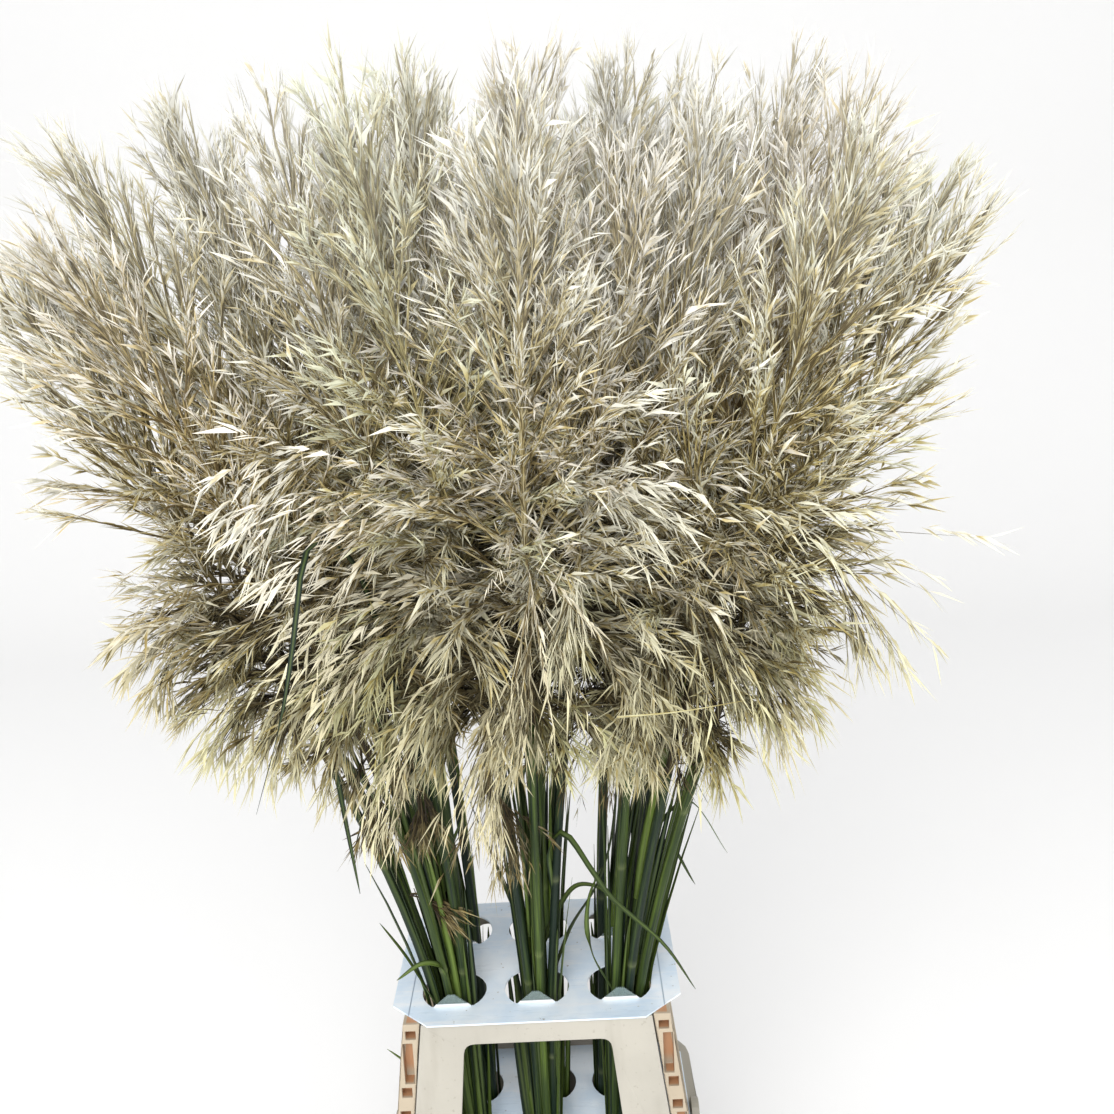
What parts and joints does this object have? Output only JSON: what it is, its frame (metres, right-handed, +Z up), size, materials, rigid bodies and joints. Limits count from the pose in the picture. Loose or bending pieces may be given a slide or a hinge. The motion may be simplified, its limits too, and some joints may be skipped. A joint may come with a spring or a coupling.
{
  "type": "potted pampas grass",
  "caption": "Fluffy beige pampas grass plumes on green stems, in bunches held upright by a tapered collar and holed sheets on a plastic water tub.",
  "frame": {"origin": "middle of the tub's underside, on the surface that it stands on", "axes": "+Z up along the stems, +X along the tub's long side to the viewer's right, and the pictured side faces -Y"},
  "size_m": [1.0824, 0.8955, 1.5409],
  "materials": {
    "tub": "satin",
    "collar": "satin",
    "sheet": "satin",
    "water": "gloss",
    "stem": "satin",
    "plume": "matte"
  },
  "bodies": {
    "root": {"tub": "tub", "water": "water", "lower_sheet": "sheet", "upper_sheet": "sheet", "collar_front": "collar", "collar_back": "collar", "collar_left": "collar", "collar_right": "collar", "stems_front_left": "stem", "plume_front_left_1": "plume", "plume_front_left_2": "plume", "plume_front_left_3": "plume", "plume_front_left_4": "plume", "plume_front_left_5": "plume", "plume_front_left_6": "plume", "plume_front_left_7": "plume", "stems_front_middle": "stem", "plume_front_middle_1": "plume", "plume_front_middle_2": "plume", "plume_front_middle_3": "plume", "plume_front_middle_4": "plume", "plume_front_middle_5": "plume", "plume_front_middle_6": "plume", "plume_front_middle_7": "plume", "stems_front_right": "stem", "plume_front_right_1": "plume", "plume_front_right_2": "plume", "plume_front_right_3": "plume", "plume_front_right_4": "plume", "plume_front_right_5": "plume", "plume_front_right_6": "plume", "plume_front_right_7": "plume", "stems_back_left": "stem", "plume_back_left_1": "plume", "plume_back_left_2": "plume", "plume_back_left_3": "plume", "plume_back_left_4": "plume", "plume_back_left_5": "plume", "plume_back_left_6": "plume", "plume_back_left_7": "plume", "stems_back_middle": "stem", "plume_back_middle_1": "plume", "plume_back_middle_2": "plume", "plume_back_middle_3": "plume", "plume_back_middle_4": "plume", "plume_back_middle_5": "plume", "plume_back_middle_6": "plume", "plume_back_middle_7": "plume", "stems_back_right": "stem", "plume_back_right_1": "plume", "plume_back_right_2": "plume", "plume_back_right_3": "plume", "plume_back_right_4": "plume", "plume_back_right_5": "plume", "plume_back_right_6": "plume", "plume_back_right_7": "plume"}
  },
  "joints": []
}
